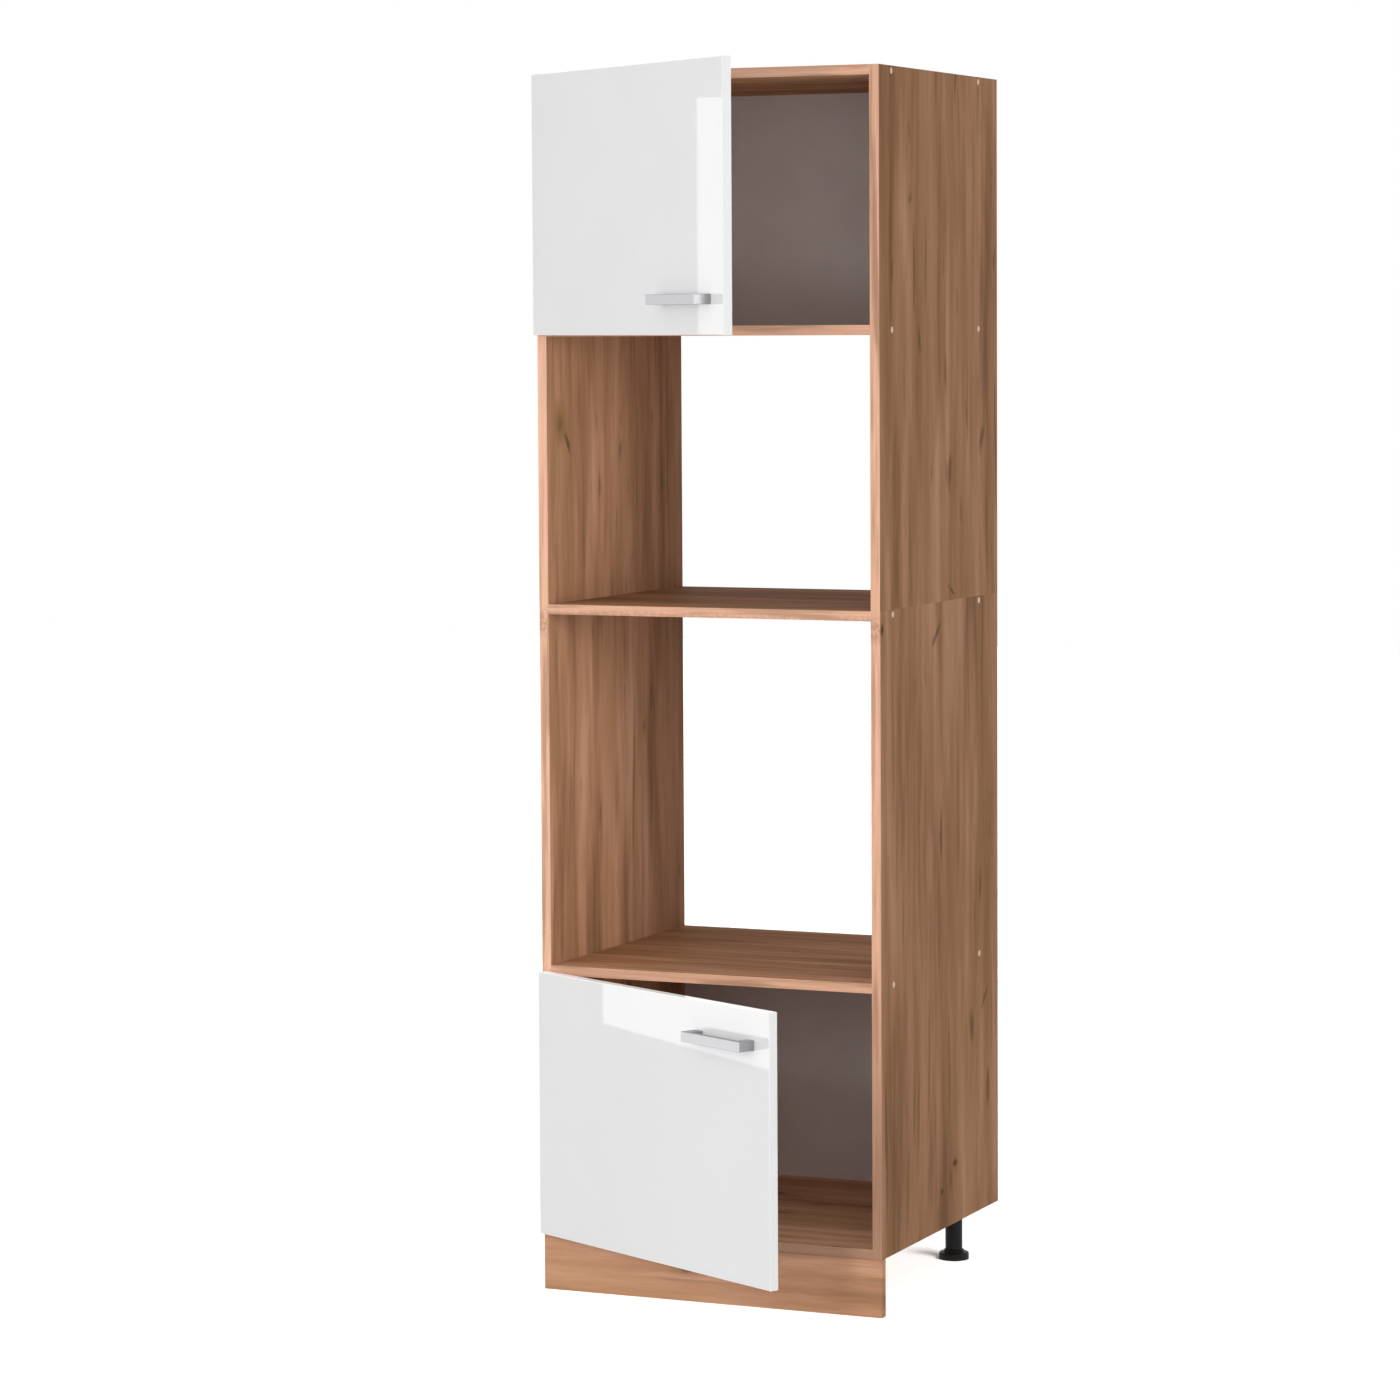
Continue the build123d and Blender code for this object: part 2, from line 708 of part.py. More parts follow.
    closed_angle = degrees(atan2(closed_c[1] - pin_a[1], closed_c[0] - pin_a[0]))
    outer_length = hypot(closed_c[0] - pin_a[0], closed_c[1] - pin_a[1])
    with BuildPart() as outer_links:
        for z in hinge_heights(span):
            for low in (z + outer_link_near, z - outer_link_far):
                link_plane = upright((pin_a[0], pin_a[1], low), outer_turn - closed_angle)
                with BuildSketch(link_plane):
                    with Locations((outer_length / 2, 0)):
                        SlotCenterToCenter(outer_length, 2 * link_half_width)
                    with Locations((0, 0), (outer_length, 0)):
                        Circle(link_radius)
                        Circle(pin_radius + pin_clearance, mode=Mode.SUBTRACT)
                extrude(amount=outer_link_far - outer_link_near)
    finish(outer_links, f"{level}_hinge_outer_links")

    pin_d = on_door(closed_d)
    inner_angle = degrees(atan2(pin_b[1] - closed_d[1], pin_b[0] - closed_d[0]))
    inner_length = hypot(pin_b[0] - closed_d[0], pin_b[1] - closed_d[1])
    eye = slot_half_width + slot_wall
    with BuildPart() as inner_links:
        for z in hinge_heights(span):
            link_plane = upright((pin_d[0], pin_d[1], z - inner_link_half), inner_turn - inner_angle)
            with BuildSketch(link_plane):
                with Locations((inner_length / 2, 0)):
                    SlotCenterToCenter(inner_length, 2 * link_half_width)
                Circle(link_radius)
                Circle(pin_radius + pin_clearance, mode=Mode.SUBTRACT)
                with Locations((inner_length, 0)):
                    SlotCenterToCenter(2 * slot_reach, 2 * eye)
                    SlotCenterToCenter(2 * slot_reach, 2 * slot_half_width, mode=Mode.SUBTRACT)
            extrude(amount=2 * inner_link_half)
    finish(inner_links, f"{level}_hinge_inner_links")

    wall_face = -inner_half
    arm_front, arm_back = pin_a[1] - arm_nose_front, front + arm_reach_back
    nose_left, nose_right = pin_a[0] - arm_nose_left, pin_a[0] + arm_nose_right
    rise = wall_face + hinge_plate + hinge_block_rise
    web_face, wall_base = rise + arm_web, wall_face + hinge_plate + arm_web
    web_points = [(nose_right, front + arm_bend_front), (web_face, front + arm_bend_back),
                  (web_face, arm_back)]
    base_points = [(wall_base, arm_back), (wall_base, front + arm_bend_back - arm_bend_front),
                   (nose_left, pin_b[1] + arm_nose_front), (nose_left, arm_front),
                   (nose_right, arm_front)]
    wall_reach = arm_wall_near + arm_wall
    screw_y = front + arm_screw_from_front
    with BuildPart() as arms:
        for z in hinge_heights(span):
            for low in (z + arm_wall_near, z - wall_reach):
                with BuildSketch(Plane.XY.offset(low)):
                    with BuildLine():
                        Polyline(*web_points, *base_points, close=True)
                    make_face()
                    with Locations(pin_a, pin_b):
                        Circle(pin_radius + pin_clearance, mode=Mode.SUBTRACT)
                extrude(amount=arm_wall)
            with BuildSketch(Plane.XY.offset(z - wall_reach)):
                with BuildLine():
                    inner_web = [(x - arm_web, y) for x, y in web_points]
                    Polyline(*web_points, *reversed(inner_web), close=True)
                make_face()
            extrude(amount=2 * wall_reach)
            drill((web_face, screw_y, z), left, arm_screw_radius, arm_web)
    finish(arms, f"{level}_hinge_arms")

    with BuildPart() as arm_pins:
        for z in hinge_heights(span):
            for pin in (pin_a, pin_b):
                rod((*pin, z - wall_reach), up, pin_radius, 2 * wall_reach)
    finish(arm_pins, f"{level}_hinge_arm_pins")

    with BuildPart() as arm_screws:
        for z in hinge_heights(span):
            rod((web_face, screw_y, z), left, arm_screw_radius, arm_web + hinge_block_rise)
            rod((web_face, screw_y, z), right, arm_screw_head_radius, arm_screw_head)
    finish(arm_screws, f"{level}_hinge_arm_screws")

    plate_y = front + hinge_plate_from_front
    with BuildPart() as plates:
        for z in hinge_heights(span):
            half = hinge_plate_height / 2
            block((wall_face, plate_y - hinge_plate_width / 2, z - half),
                  (wall_face + hinge_plate, plate_y + hinge_plate_width / 2, z + half))
            block((wall_face, plate_y - hinge_plate_width / 2, z - hinge_block_half),
                  (rise, arm_back - hinge_block_from_arm_end, z + hinge_block_half))
            drill((rise, screw_y, z), left, arm_screw_radius, hinge_block_rise)
        for z in plate_screw_heights(span):
            drill((wall_face, plate_y, z), right, small_screw_radius, hinge_plate)
    finish(plates, f"{level}_hinge_plates")

    with BuildPart() as plate_fixings:
        for z in plate_screw_heights(span):
            small_screw((wall_face + hinge_plate, plate_y, z), left)
    finish(plate_fixings, f"{level}_hinge_plate_screws")


make_door("upper", upper_door_span, upper_opening, upper_door_span[0] + handle_from_door_edge)
make_door("lower", lower_door_span, lower_opening, lower_door_span[1] - handle_from_door_edge)
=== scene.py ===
"""Studio picture of a tall kitchen housing unit with an oven niche and a microwave niche."""
from math import cos, radians, sin

import bmesh
import bpy
from mathutils import Matrix, Vector


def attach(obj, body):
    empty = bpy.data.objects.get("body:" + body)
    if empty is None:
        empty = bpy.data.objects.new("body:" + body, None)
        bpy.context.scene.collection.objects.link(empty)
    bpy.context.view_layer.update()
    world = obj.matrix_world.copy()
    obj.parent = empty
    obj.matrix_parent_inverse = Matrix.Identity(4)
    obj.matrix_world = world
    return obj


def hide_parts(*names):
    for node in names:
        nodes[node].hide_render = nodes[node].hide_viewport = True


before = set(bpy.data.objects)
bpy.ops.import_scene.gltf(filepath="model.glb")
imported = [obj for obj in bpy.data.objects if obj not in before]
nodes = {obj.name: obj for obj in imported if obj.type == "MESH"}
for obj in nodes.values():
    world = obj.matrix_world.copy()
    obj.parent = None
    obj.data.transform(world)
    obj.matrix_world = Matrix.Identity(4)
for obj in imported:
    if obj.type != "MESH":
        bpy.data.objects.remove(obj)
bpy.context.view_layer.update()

# How far each door stands open, in degrees
DOOR_OPENINGS = {"upper": 35.2, "lower": 27.5}
# Half the width between the sides, in metres as all sizes here
INNER_HALF = 0.284
# The front strips have a knot near the seam, and turn browner between these heights, a painted shade
# that darkens them towards the floor
SEAM_KNOT_HEIGHT = 1.106
PAINTED_SHADE_TO, PAINTED_SHADE_FROM = 0.14, 0.62
# The legs stand this far to the left and right, in these rows, under the sockets' plates
LEG_SIDEWAYS, LEG_ROWS = 0.24, (-0.21, 0.215)
SOCKET_PLATE_UNDERSIDE = 0.0912
# Plate screws below this height hold the ties of the seam, those above the wall brackets
SEAM_SCREWS_BELOW = 1.5


class Graph:
    """A node tree with short calls for the nodes that the finishes use."""

    def __init__(self, tree):
        self.tree = tree

    def node(self, kind, *inputs, **settings):
        """Adds a node; plain values and sockets fill its inputs by position or by name."""
        named = settings.pop("named", {})
        made = self.tree.nodes.new(kind)
        for key, value in settings.items():
            setattr(made, key, value)
        for key, value in [*enumerate(inputs), *named.items()]:
            self.fill(made.inputs[key], value)
        return made

    def fill(self, socket, value):
        """Links a socket, or sets its plain value."""
        if value is None:
            return
        if isinstance(value, bpy.types.NodeSocket):
            self.tree.links.new(value, socket)
        else:
            socket.default_value = value

    def maths(self, operation, *values, clamp=False):
        return self.node("ShaderNodeMath", *values, operation=operation, use_clamp=clamp).outputs[0]

    def vector(self, operation, *values):
        return self.node("ShaderNodeVectorMath", *values, operation=operation).outputs[0]

    def combine(self, x, y, z):
        return self.node("ShaderNodeCombineXYZ", x, y, z).outputs[0]

    def separate(self, vector):
        return self.node("ShaderNodeSeparateXYZ", vector).outputs

    def noise(self, vector, scale=1.0, detail=2.0, roughness=0.5):
        """A noise value about 0.5 at a place."""
        names = {"Vector": vector, "Scale": scale, "Detail": detail, "Roughness": roughness}
        return self.node("ShaderNodeTexNoise", named=names).outputs[0]

    def voronoi(self, vector, scale=1.0, feature="F1"):
        names = {"Vector": vector, "Scale": scale}
        return self.node("ShaderNodeTexVoronoi", feature=feature, named=names).outputs

    def spread(self, value, low, high, to_low=0.0, to_high=1.0):
        """Maps a range to another, smoothly and with clamped ends."""
        made = self.node("ShaderNodeMapRange", interpolation_type="SMOOTHSTEP")
        for index, item in enumerate((value, low, high, to_low, to_high)):
            self.fill(made.inputs[index], item)
        return made.outputs[0]

    def ramp(self, value, *stops):
        """Colours a value; each stop is a place and a colour."""
        made = self.node("ShaderNodeValToRGB", value)
        elements = made.color_ramp.elements
        while len(elements) < len(stops):
            elements.new(0.5)
        for element, (place, colour) in zip(elements, stops):
            element.position = place
            element.color = (*colour, 1.0)
        return made.outputs[0]

    def mix(self, share, first, second, blend="MIX"):
        """Mixes two colours."""
        made = self.node("ShaderNodeMix", data_type="RGBA", blend_type=blend)
        self.fill(made.inputs[0], share)
        for index, value in ((6, first), (7, second)):
            self.fill(made.inputs[index], (*value, 1.0) if isinstance(value, tuple) else value)
        return made.outputs[2]

    def bump(self, height, distance, strength=1.0):
        """Turns a height from 0 to 1 into a normal; distance is in metres."""
        names = {"Height": height, "Distance": distance, "Strength": strength}
        return self.node("ShaderNodeBump", named=names).outputs[0]

    def place(self):
        """The object's own coordinates, in metres."""
        return self.node("ShaderNodeTexCoord").outputs["Object"]

    def seen(self):
        """1 for what the camera sees, also in metal and through clear pieces, else 0."""
        rays = self.node("ShaderNodeLightPath").outputs
        return self.maths("MAXIMUM", rays["Is Camera Ray"], self.maths(
            "MAXIMUM", rays["Is Glossy Ray"], rays["Is Transmission Ray"]))

    def facing(self):
        """The surface's own normal, which turns with the object."""
        return self.node("ShaderNodeTexCoord").outputs["Normal"]


def new_finish(name):
    """Makes a material and returns it with its graph and its shader."""
    material = bpy.data.materials.new(name)
    material.use_nodes = True
    graph = Graph(material.node_tree)
    return material, graph, material.node_tree.nodes["Principled BSDF"]


def set_shader(graph, shader, **values):
    """Sets or links the shader's sockets; underscores in a name stand for spaces."""
    for key, value in values.items():
        if isinstance(value, tuple) and len(value) == 3:
            value = (*value, 1.0)
        graph.fill(shader.inputs[key.replace("_", " ")], value)


def decor_group():
    """The wood decor: a grain across X and along Z, in metres, as a colour and a height."""
    tree = bpy.data.node_groups.new("wood decor", "ShaderNodeTree")
    tree.interface.new_socket("Place", in_out="INPUT", socket_type="NodeSocketVector")
    tree.interface.new_socket("Colour", in_out="OUTPUT", socket_type="NodeSocketColor")
    tree.interface.new_socket("Height", in_out="OUTPUT", socket_type="NodeSocketFloat")
    graph = Graph(tree)
    place = graph.node("NodeGroupInput").outputs[0]
    across, depth, along = graph.separate(place)

    def stretched(per_metre, along_per_metre, detail=2.0, roughness=0.5, source=None):
        """Noise that is drawn out along the grain."""
        vector = graph.combine(graph.maths("MULTIPLY", source or bent, per_metre),
                               graph.maths("MULTIPLY", depth, per_metre / 3),
                               graph.maths("MULTIPLY", along, along_per_metre))
        return graph.noise(vector, detail=detail, roughness=roughness)

    sway = stretched(5.0, 0.9, source=across)
    wobble = stretched(16.0, 4.5, source=across)
    bent = graph.maths("ADD", across, graph.maths(
        "ADD", graph.maths("MULTIPLY_ADD", sway, 0.050, -0.025),
        graph.maths("MULTIPLY_ADD", wobble, 0.014, -0.007)))

    broad = stretched(11.0, 1.1)
    streaks = stretched(23.0, 2.2, roughness=0.55)
    thin = stretched(66.0, 5.4, detail=3.0, roughness=0.55)
    fine = stretched(420.0, 18.0, detail=3.0, roughness=0.6)
    tone = graph.maths("ADD", graph.maths("MULTIPLY", broad, 0.36),
                       graph.maths("MULTIPLY_ADD", streaks, 0.42, graph.maths(
                           "MULTIPLY", thin, 0.22)))
    colour = graph.ramp(tone, (0.36, (0.270, 0.132, 0.066)), (0.44, (0.395, 0.197, 0.099)),
                        (0.51, (0.505, 0.257, 0.134)), (0.62, (0.640, 0.350, 0.202)))
    ochre = graph.spread(stretched(16.0, 1.3, source=across), 0.47, 0.62, 0.0, 0.45)
    colour = graph.mix(ochre, colour, (0.395, 0.206, 0.090))
    grain = graph.spread(fine, 0.30, 0.72, 0.94, 1.05)
    colour = graph.mix(1.0, colour, graph.combine(grain, grain, grain), "MULTIPLY")

    # Dark marks, short and soft, and long thin ones, only here and there
    short = graph.spread(stretched(40.0, 9.0, detail=0.0), 0.745, 0.86, 0.0, 0.60)
    long = graph.spread(stretched(64.0, 3.0, detail=0.0), 0.68, 0.82, 0.0, 0.45)
    dark = graph.maths("MAXIMUM", short, long)
    colour = graph.mix(dark, colour, (0.150, 0.072, 0.034))

    height = graph.maths("SUBTRACT", graph.spread(fine, 0.25, 0.60), dark, clamp=True)
    output = graph.node("NodeGroupOutput")
    graph.fill(output.inputs[0], colour)
    graph.fill(output.inputs[1], height)
    return tree


DECOR = decor_group()


def decor(graph, axes, offset, spots=()):
    """The decor on a board; axes names the directions across, through and along its grain.

    Each spot is a knot or a dark mark: its place across and along, its half sizes both ways,
    how far it leans, how dark it is and how strong the ochre round it is.
    """
    parts = dict(zip("XYZ", graph.separate(graph.place())))
    turned = graph.combine(*[parts[axis] for axis in axes])
    place = graph.vector("ADD", turned, offset)
    made = graph.node("ShaderNodeGroup", node_tree=DECOR)
    graph.fill(made.inputs[0], place)
    colour = made.outputs["Colour"]
    ragged = graph.noise(graph.vector("MULTIPLY", place, (110.0, 0.0, 60.0)), 1.0, 2.0)
    for across, along, half_across, half_along, lean, strength, halo in spots:
        high = graph.maths("SUBTRACT", parts[axes[2]], along)
        wide = graph.maths("MULTIPLY_ADD", high, -lean, graph.maths(
            "SUBTRACT", parts[axes[0]], across))
        reach = graph.node("ShaderNodeVectorMath", graph.combine(
            graph.maths("DIVIDE", wide, half_across), graph.maths("DIVIDE", high, half_along), 0.0),
            operation="LENGTH").outputs["Value"]
        reach = graph.maths("ADD", reach, graph.maths("MULTIPLY_ADD", ragged, 1.2, -0.6))
        colour = graph.mix(graph.spread(reach, 0.8, 3.4, halo, 0.0), colour, (0.300, 0.165, 0.060))
        colour = graph.mix(graph.spread(reach, 0.25, 1.3, strength, 0.0), colour,
                           (0.095, 0.048, 0.022))
    return colour, made.outputs["Height"]


def chipboard(graph):
    """Raw chipboard: pale flakes, darker towards their gaps."""
    place = graph.place()
    flakes = graph.voronoi(place, 700.0)
    small = graph.voronoi(place, 1900.0)
    tone = graph.maths("MULTIPLY_ADD", graph.separate(flakes["Color"])[0], 0.6,
                       graph.maths("MULTIPLY", graph.separate(small["Color"])[1], 0.4))
    colour = graph.ramp(tone, (0.05, (0.34, 0.215, 0.115)), (0.45, (0.50, 0.345, 0.200)),
                        (0.9, (0.62, 0.450, 0.280)))
    return colour, flakes["Distance"]


def board_finish(name, axes, offset, tone_and_shade_gain, spots=(), raw_edges=True):
    """A decor-faced chipboard; the gain multiplies this board's decor colour, partly for its own tone
    and partly as painted light and shade.
    """
    material, graph, shader = new_finish(name)
    colour, height = decor(graph, axes, offset, spots)
    colour = graph.mix(1.0, colour, tone_and_shade_gain, "MULTIPLY")
    core, pits = chipboard(graph) if raw_edges else (colour, height)
    through = dict(zip("XYZ", graph.separate(graph.facing())))[axes[1]]
    face = graph.spread(graph.maths("ABSOLUTE", through), 0.45, 0.55)
    surface = graph.mix(face, core, colour)
    relief = graph.maths("MULTIPLY", height, face)
    raw = graph.maths("MULTIPLY", pits, graph.maths("SUBTRACT", 1.0, face))
    normal = graph.bump(graph.maths("ADD", relief, raw), 0.00012, 0.55)
    rough = graph.spread(face, 0.0, 1.0, 0.9, 0.68)
    set_shader(graph, shader, Base_Color=surface, Roughness=rough, Normal=normal)
    shader.inputs["Specular IOR Level"].default_value = 0.03
    return material


def edge_finish():
    """The lighter decor strip on the front edges; its grain follows each strip."""
    material, graph, shader = new_finish("decor edge strip")
    x, y, z = graph.separate(graph.place())
    upright = graph.maths("GREATER_THAN", graph.maths("ABSOLUTE", x), INNER_HALF)
    across = graph.maths("ADD", graph.maths("MULTIPLY", upright, x),
                         graph.maths("MULTIPLY", graph.maths("SUBTRACT", 1.0, upright), z))
    along = graph.maths("ADD", graph.maths("MULTIPLY", upright, z),
                        graph.maths("MULTIPLY", graph.maths("SUBTRACT", 1.0, upright), x))
    streaks = graph.noise(graph.combine(graph.maths("MULTIPLY", across, 150.0), y,
                                        graph.maths("MULTIPLY", along, 5.0)), 1.0, 3.0, 0.6)
    fine = graph.noise(graph.combine(graph.maths("MULTIPLY", across, 1400.0), y,
                                     graph.maths("MULTIPLY", along, 30.0)), 1.0, 2.0)
    tone = graph.maths("MULTIPLY_ADD", fine, 0.25, graph.maths("MULTIPLY", streaks, 0.75))
    colour = graph.ramp(tone, (0.32, (0.42, 0.22, 0.128)), (0.43, (0.66, 0.355, 0.220)),
                        (0.56, (0.76, 0.420, 0.275)), (0.70, (0.82, 0.490, 0.350)))
    patch = graph.noise(graph.combine(graph.maths("MULTIPLY", across, 60.0), 7.0,
                                      graph.maths("MULTIPLY", along, 3.4)), 1.0, 2.0)
    colour = graph.mix(graph.spread(patch, 0.54, 0.66, 0.0, 0.60), colour, (0.36, 0.19, 0.105))
    # Painted shade: the strips turn browner towards the floor, where less light reaches them; and a
    # dark knot where the two parts of a side meet
    brown = graph.spread(z, PAINTED_SHADE_TO, PAINTED_SHADE_FROM, 0.75, 0.0)
    from_knot = graph.maths("ABSOLUTE", graph.maths("SUBTRACT", z, SEAM_KNOT_HEIGHT))
    knot = graph.spread(from_knot, 0.006, 0.030, 0.70, 0.0)
    ragged = graph.spread(graph.noise(graph.place(), 130.0, 2.0), 0.35, 0.60)
    colour = graph.mix(graph.maths("MAXIMUM", brown, graph.maths("MULTIPLY", knot, ragged)),
                       colour, (0.380, 0.200, 0.118))
    set_shader(graph, shader, Base_Color=colour, Roughness=0.42,
               Normal=graph.bump(fine, 0.00006, 0.5))
    return material


def gloss_finish(level):
    """White high-gloss foil on a door's front and edges, satin white on its inner face."""
    material, graph, shader = new_finish(f"white gloss {level} door")
    opening = radians(DOOR_OPENINGS[level])
    place = graph.place()
    peel = graph.noise(place, 900.0, 2.0)
    cloud = graph.noise(place, 6.0, 1.0)
    tint = graph.mix(graph.spread(cloud, 0.3, 0.7), (0.695, 0.700, 0.697), (0.705, 0.710, 0.707))
    inwards = graph.node("ShaderNodeVectorMath", graph.facing(),
                         (sin(opening), cos(opening), 0.0), operation="DOT_PRODUCT")
    inner = graph.spread(inwards.outputs["Value"], 0.6, 0.8)
    rough = graph.maths("ADD", graph.spread(peel, 0.3, 0.7, 0.015, 0.030),
                        graph.maths("MULTIPLY", inner, 0.36))
    set_shader(graph, shader, Base_Color=tint, Roughness=rough,
               Normal=graph.bump(peel, 0.0000006, 0.3))
    shader.inputs["IOR"].default_value = 1.5
    return material


def plain_finish(name, low, high, roughness, scale, metallic=0.0, relief=0.00004, stretch=None,
                 specular=0.5):
    """A finish with fine mottling between two colours; stretch draws it out into brush lines."""
    material, graph, shader = new_finish(name)
    place = graph.place()
    if stretch:
        place = graph.vector("MULTIPLY", place, stretch)
    mottle = graph.noise(place, scale, 4.0, 0.6)
    colour = graph.mix(graph.spread(mottle, 0.3, 0.7), low, high)
    rough = graph.spread(mottle, 0.3, 0.7, roughness * 0.8, roughness * 1.2)
    shader.inputs["Metallic"].default_value = metallic
    shader.inputs["Specular IOR Level"].default_value = specular
    set_shader(graph, shader, Base_Color=colour, Roughness=rough,
               Normal=graph.bump(mottle, relief, 0.4))
    return material


def back_finish():
    """Back sheet: a pale grey coat inside and raw brown fibreboard outside."""
    material, graph, shader = new_finish("back sheet")
    place = graph.place()
    fibres = graph.noise(place, 900.0, 4.0, 0.7)
    clouds = graph.noise(place, 9.0, 3.0)
    raw = graph.ramp(graph.maths("MULTIPLY_ADD", fibres, 0.7, graph.maths("MULTIPLY", clouds, 0.3)),
                     (0.3, (0.27, 0.165, 0.095)), (0.55, (0.40, 0.260, 0.160)),
                     (0.75, (0.52, 0.355, 0.230)))
    coat = graph.mix(graph.spread(clouds, 0.3, 0.7), (0.60, 0.555, 0.55), (0.64, 0.600, 0.595))
    inside = graph.spread(graph.separate(graph.facing())[1], -0.6, -0.4, 1.0, 0.0)
    colour = graph.mix(inside, raw, coat)
    rough = graph.spread(inside, 0.0, 1.0, 0.85, 0.40)
    relief = graph.maths("MULTIPLY", fibres, graph.maths("SUBTRACT", 1.0, inside))
    set_shader(graph, shader, Base_Color=colour, Roughness=rough,
               Normal=graph.bump(relief, 0.0001, 0.5))
    return material


# For each board: the axes and the offset of its decor, its gain, its knots and marks, and
# whether its edges are raw. Besides the board's own tone, the gain paints light and shade
# into the colour: painted shade on the middle shelf, painted light on the top and bottom panels
BOARD_GRAIN = {
    "side_left_lower": ("YXZ", (0.31, 0.2, 0.75), (0.90, 0.93, 1.01), (
        (0.105, 0.905, 0.009, 0.011, 0.3, 0.30, 0.15),)),
    "side_right_lower": ("YXZ", (3.13, 0.5, 2.20), (0.955, 0.98, 1.04), (
        (0.062, 0.195, 0.011, 0.008, 0.0, 0.85, 0.25), (0.001, 0.157, 0.008, 0.006, 0.0, 0.7, 0.2),
        (-0.021, 1.083, 0.009, 0.021, 0.92, 0.62, 0.0), (0.205, 0.454, 0.008, 0.018, 0.85, 0.5, 0.0),
        (-0.262, 1.106, 0.007, 0.010, 0.0, 0.85, 0.2))),
    "side_left_upper": ("YXZ", (5.71, 0.8, 4.40), (0.90, 0.93, 1.01), (
        (-0.193, 1.400, 0.008, 0.019, -0.55, 0.75, 0.0), (-0.220, 1.430, 0.011, 0.016, 0.0, 0.35, 0.75),
        (0.014, 1.381, 0.008, 0.012, 0.2, 0.35, 0.2))),
    "side_right_upper": ("YXZ", (7.37, 1.1, 6.15), (0.955, 0.98, 1.04), (
        (0.053, 1.151, 0.007, 0.011, -1.6, 0.6, 0.0), (0.194, 1.400, 0.010, 0.026, 0.3, 0.55, 0.0),
        (-0.135, 1.792, 0.007, 0.009, 0.2, 0.45, 0.2))),
    # Painted light: this gain makes the bottom panel lighter and greyer than the decor
    "bottom_panel": ("YZX", (9.10, 0.0, 1.30), (1.45, 1.64, 1.92), ()),
    "lower_shelf": ("YZX", (11.40, 0.0, 3.70), (0.95, 0.96, 1.00), ()),
    # Painted shade: this gain darkens the middle shelf
    "middle_shelf": ("YZX", (13.20, 0.0, 5.20), (0.72, 0.73, 0.73), ()),
    "upper_shelf": ("YZX", (15.80, 0.0, 7.90), (1.0, 1.0, 1.0), ()),
    # Painted light: this gain makes the top panel lighter and greyer than the decor
    "top_panel": ("YZX", (17.50, 0.0, 9.40), (1.12, 1.22, 1.30), ()),
    "plinth_panel": ("ZYX", (19.30, 0.0, 11.60), (1.02, 1.05, 1.17), (
        (0.052, -0.045, 0.005, 0.014, 0.0, 0.6, 0.35),), False),
}
back_sheet = back_finish()
edge_strip = edge_finish()
zinc = plain_finish("zinc plating", (0.38, 0.39, 0.39), (0.52, 0.52, 0.50), 0.34, 260.0, 1.0)
nickel = plain_finish("nickel plating", (0.60, 0.58, 0.54), (0.70, 0.68, 0.64), 0.22, 300.0, 1.0)
casting = plain_finish("cast zinc", (0.36, 0.36, 0.36), (0.48, 0.48, 0.47), 0.48, 520.0, 1.0)
aluminium = plain_finish("satin aluminium", (0.34, 0.34, 0.35), (0.40, 0.40, 0.41), 0.46, 60.0, 1.0,
                         stretch=(1.0, 1.0, 24.0))
black_plastic = plain_finish("black plastic", (0.010, 0.010, 0.011), (0.020, 0.020, 0.021), 0.50,
                             900.0, relief=0.0001, specular=0.15)
beech = plain_finish("beech", (0.52, 0.35, 0.19), (0.64, 0.46, 0.28), 0.7, 400.0)
cap_plastic = plain_finish("cap plastic", (0.84, 0.58, 0.42), (0.90, 0.65, 0.49), 0.50, 500.0)
clear_rubber = plain_finish("clear rubber", (0.62, 0.62, 0.60), (0.70, 0.70, 0.68), 0.25, 300.0)

NODE_FINISHES = {
    "front_edge_bands": edge_strip, "lower_back_panel": back_sheet, "upper_back_panel": back_sheet,
    "back_nails": zinc, "board_screws": zinc, "screw_caps": cap_plastic, "board_dowels": beech,
    "seam_dowels": beech, "cam_housings": casting, "cam_bolts": zinc, "seam_plates": zinc,
    "plate_screws": zinc, "leg_sockets": black_plastic, "leg_socket_screws": zinc,
    "leg_tubes": black_plastic, "wall_brackets": zinc, "foot_front_left": black_plastic,
    "foot_front_right": black_plastic, "foot_back_left": black_plastic,
    "foot_back_right": black_plastic, "plinth_clips": black_plastic, "plinth_clip_screws": zinc,
}
DOOR_FINISHES = {
    "door_bumpers": clear_rubber, "handle": aluminium, "handle_screws": zinc,
    "hinge_cups": nickel, "hinge_cup_screws": nickel, "hinge_cup_pins": nickel,
    "hinge_outer_links": nickel, "hinge_inner_links": nickel, "hinge_arms": nickel,
    "hinge_arm_pins": nickel, "hinge_arm_screws": nickel, "hinge_plates": nickel,
    "hinge_plate_screws": nickel,
}
for name, grain in BOARD_GRAIN.items():
    NODE_FINISHES[name] = board_finish(name.replace("_", " ") + " decor", *grain)
for level in DOOR_OPENINGS:
    NODE_FINISHES[f"{level}_door"] = gloss_finish(level)
    for name, finish in DOOR_FINISHES.items():
        NODE_FINISHES[f"{level}_{name}"] = finish


def dress(piece, finish):
    """Gives a mesh one finish."""
    piece.data.materials.clear()
    piece.data.materials.append(finish)
    for polygon in piece.data.polygons:
        polygon.material_index = 0


for name, finish in NODE_FINISHES.items():
    dress(nodes[name], finish)


